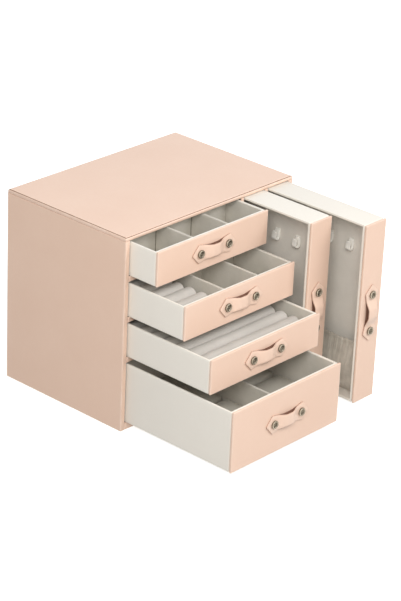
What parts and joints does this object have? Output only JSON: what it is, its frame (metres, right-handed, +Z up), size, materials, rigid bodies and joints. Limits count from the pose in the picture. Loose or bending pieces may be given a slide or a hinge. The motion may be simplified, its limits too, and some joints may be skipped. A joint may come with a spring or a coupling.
{
  "type": "jewellery chest with drawers",
  "caption": "Board cabinet covered in pale leather, with a bank of shallow and deep drawers beside tall pull-out necklace cases, each with a riveted strap handle.",
  "frame": {"origin": "centre of the cabinet's underside, on the surface it stands on", "axes": "+Z up, -Y out of the drawer fronts, +X towards the tall cases; drawers stand partly open at rest"},
  "size_m": [0.256, 0.331, 0.22],
  "materials": {
    "pink_leather": "pale pink coated leather, fine grain, satin",
    "ivory_lining": "ivory coated covering, matte",
    "grey_velvet": "light grey short-pile velvet",
    "satin_metal": "warm grey satin metal",
    "ivory_plastic": "ivory moulded plastic, satin"
  },
  "bodies": {
    "cabinet": {"top_panel": "pink_leather", "left_side": "pink_leather", "right_side": "pink_leather", "base_panel": "pink_leather", "back_panel": "pink_leather", "main_partition": "pink_leather", "tall_partition": "pink_leather", "shelf_1": "pink_leather", "shelf_2": "pink_leather", "shelf_3": "pink_leather"},
    "drawer_1": {"tray_1": "ivory_lining", "front_1": "pink_leather", "strap_1": "pink_leather", "rivet_1_left": "satin_metal", "rivet_1_right": "satin_metal", "divider_grid_1": "grey_velvet"},
    "drawer_2": {"tray_2": "ivory_lining", "front_2": "pink_leather", "strap_2": "pink_leather", "rivet_2_left": "satin_metal", "rivet_2_right": "satin_metal", "divider_2_left": "grey_velvet", "divider_2_right": "grey_velvet", "divider_2_cross": "grey_velvet", "ring_rolls_2": "grey_velvet"},
    "drawer_3": {"tray_3": "ivory_lining", "front_3": "pink_leather", "strap_3": "pink_leather", "rivet_3_left": "satin_metal", "rivet_3_right": "satin_metal", "ring_rolls_3": "grey_velvet"},
    "drawer_4": {"tray_4": "ivory_lining", "front_4": "pink_leather", "strap_4": "pink_leather", "rivet_4_left": "satin_metal", "rivet_4_right": "satin_metal", "divider_4": "grey_velvet", "cushion_4_front_left": "grey_velvet", "cushion_4_front_right": "grey_velvet", "cushion_4_rear_left": "grey_velvet", "cushion_4_rear_right": "grey_velvet"},
    "tall_drawer_1": {"case_tall_1": "ivory_lining", "front_tall_1": "pink_leather", "strap_tall_1": "pink_leather", "rivet_tall_1_upper": "satin_metal", "rivet_tall_1_lower": "satin_metal", "hook_tall_1_1": "ivory_plastic", "hook_tall_1_2": "ivory_plastic", "hook_tall_1_3": "ivory_plastic", "pocket_tall_1": "grey_velvet"},
    "tall_drawer_2": {"case_tall_2": "ivory_lining", "front_tall_2": "pink_leather", "strap_tall_2": "pink_leather", "rivet_tall_2_upper": "satin_metal", "rivet_tall_2_lower": "satin_metal", "hook_tall_2_1": "ivory_plastic", "hook_tall_2_2": "ivory_plastic", "hook_tall_2_3": "ivory_plastic", "pocket_tall_2": "grey_velvet"}
  },
  "joints": [
    {"name": "drawer_1_slide", "type": "slide", "parent": "cabinet", "child": "drawer_1", "axis": [0, -1, 0], "range_m": [-0.03825, 0.11475]},
    {"name": "drawer_2_slide", "type": "slide", "parent": "cabinet", "child": "drawer_2", "axis": [0, -1, 0], "range_m": [-0.07849, 0.07451]},
    {"name": "drawer_3_slide", "type": "slide", "parent": "cabinet", "child": "drawer_3", "axis": [0, -1, 0], "range_m": [-0.11659, 0.03641]},
    {"name": "drawer_4_slide", "type": "slide", "parent": "cabinet", "child": "drawer_4", "axis": [0, -1, 0], "range_m": [-0.14917, 0.00383]},
    {"name": "tall_drawer_1_slide", "type": "slide", "parent": "cabinet", "child": "tall_drawer_1", "axis": [0, -1, 0], "range_m": [-0.09348, 0.05952]},
    {"name": "tall_drawer_2_slide", "type": "slide", "parent": "cabinet", "child": "tall_drawer_2", "axis": [0, -1, 0], "range_m": [-0.13556, 0.01744]}
  ]
}
